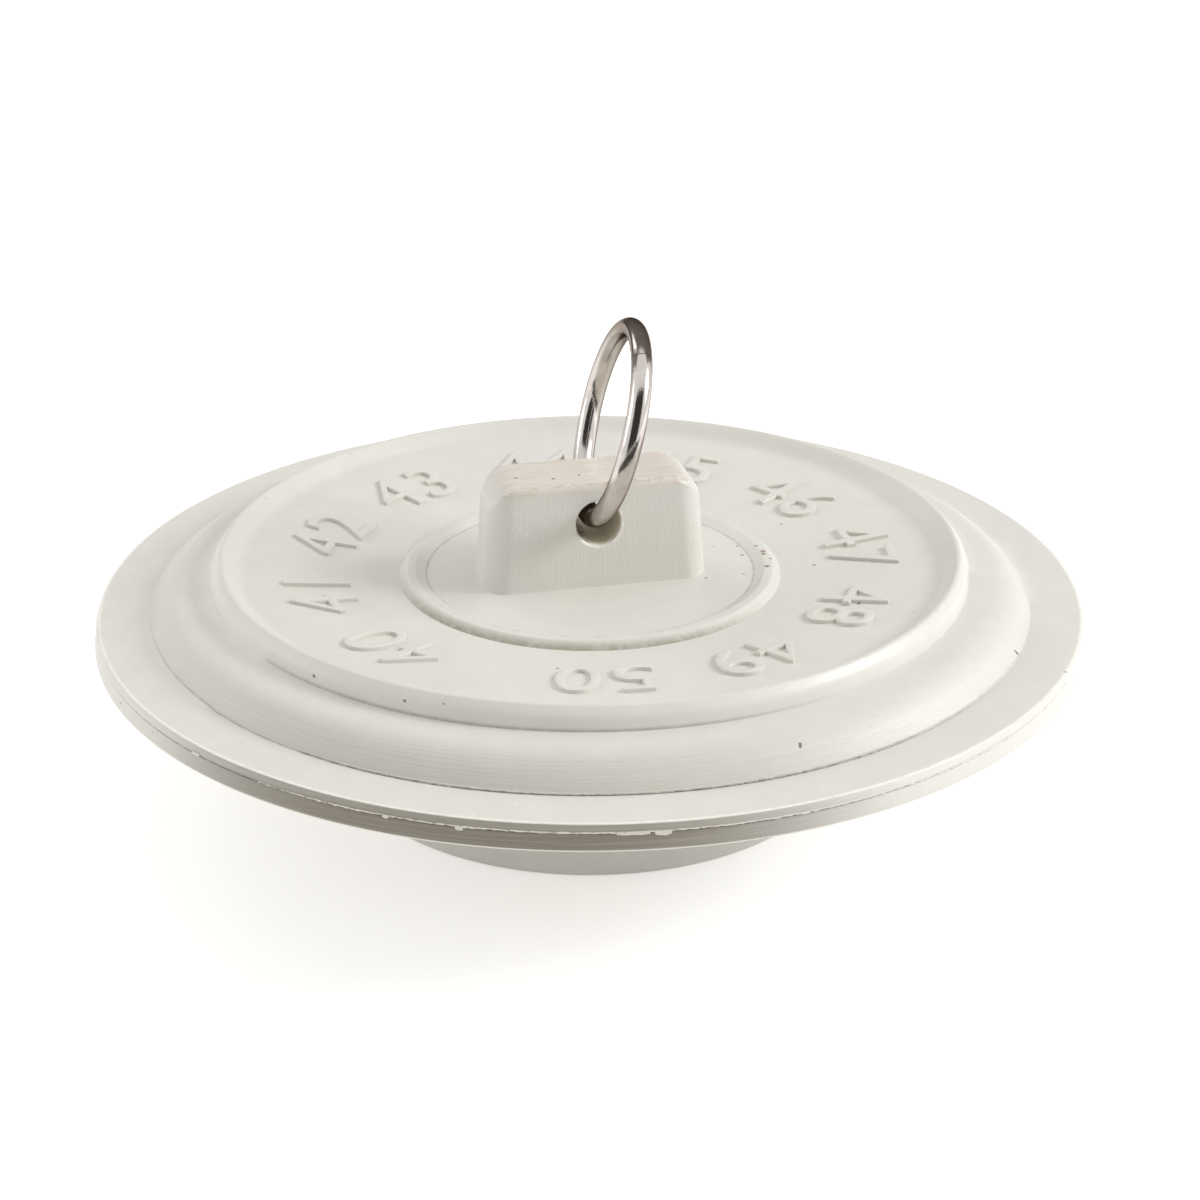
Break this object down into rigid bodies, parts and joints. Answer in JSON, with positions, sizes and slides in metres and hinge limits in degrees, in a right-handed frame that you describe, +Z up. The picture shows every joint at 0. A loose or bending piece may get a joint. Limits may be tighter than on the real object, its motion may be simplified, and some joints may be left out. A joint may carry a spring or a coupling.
{
  "type": "drain stopper",
  "caption": "White rubber drain stopper: a wide flange over a stepped plug that seats in a bath drain, with an upright lug and a wire pull ring that swings in it.",
  "frame": {"origin": "centre of the plug's bottom face, on the turned body's axis", "axes": "+Z up, from the plug to the pull ring; X along the lug's width; Y along the hole that the ring swings in"},
  "size_m": [0.0762, 0.0762, 0.0361],
  "materials": {
    "white_rubber": "moulded, satin",
    "ring_wire": "bright plated steel wire"
  },
  "bodies": {
    "stopper": {"stopper_body": "white_rubber"},
    "ring": {"pull_ring": "ring_wire"}
  },
  "joints": [
    {"name": "ring_swing", "type": "hinge", "parent": "stopper", "child": "ring", "pos_m": [0, 0, 0.02135], "axis": [0, 1, 0], "range_deg": [-116, 88]}
  ]
}
